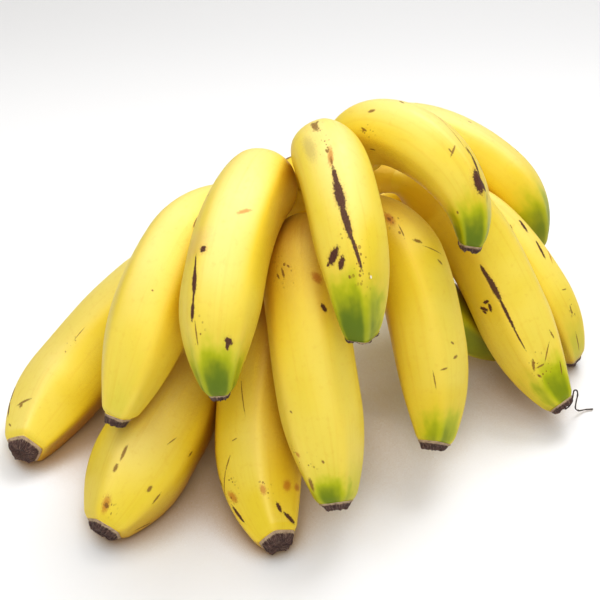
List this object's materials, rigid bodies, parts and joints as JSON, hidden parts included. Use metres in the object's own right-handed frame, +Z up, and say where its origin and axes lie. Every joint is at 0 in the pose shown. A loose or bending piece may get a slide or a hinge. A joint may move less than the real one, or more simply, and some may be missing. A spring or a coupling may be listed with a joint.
{
  "type": "hand of bananas",
  "caption": "Hand of small ripe bananas in two rows, curving down from one cut crown and standing on the lowest fingers.",
  "frame": {"origin": "on the surface that the hand stands on, under the middle of its outline", "axes": "+X to the right along the hand's widest spread, -Y to the front where the longest fingers point, +Z up"},
  "size_m": [0.251, 0.1926, 0.1451],
  "materials": {
    "peel": "waxy, softly shining yellow peel with green tips and brown marks",
    "crown": "dull, fibrous brown cut with a yellow-green skin"
  },
  "bodies": {
    "root": {"crown": "crown", "banana_01": "peel", "banana_02": "peel", "banana_03": "peel", "banana_04": "peel", "banana_05": "peel", "banana_06": "peel", "banana_07": "peel", "banana_08": "peel", "banana_09": "peel", "banana_10": "peel", "banana_11": "peel", "banana_12": "peel", "banana_13": "peel"}
  },
  "joints": []
}
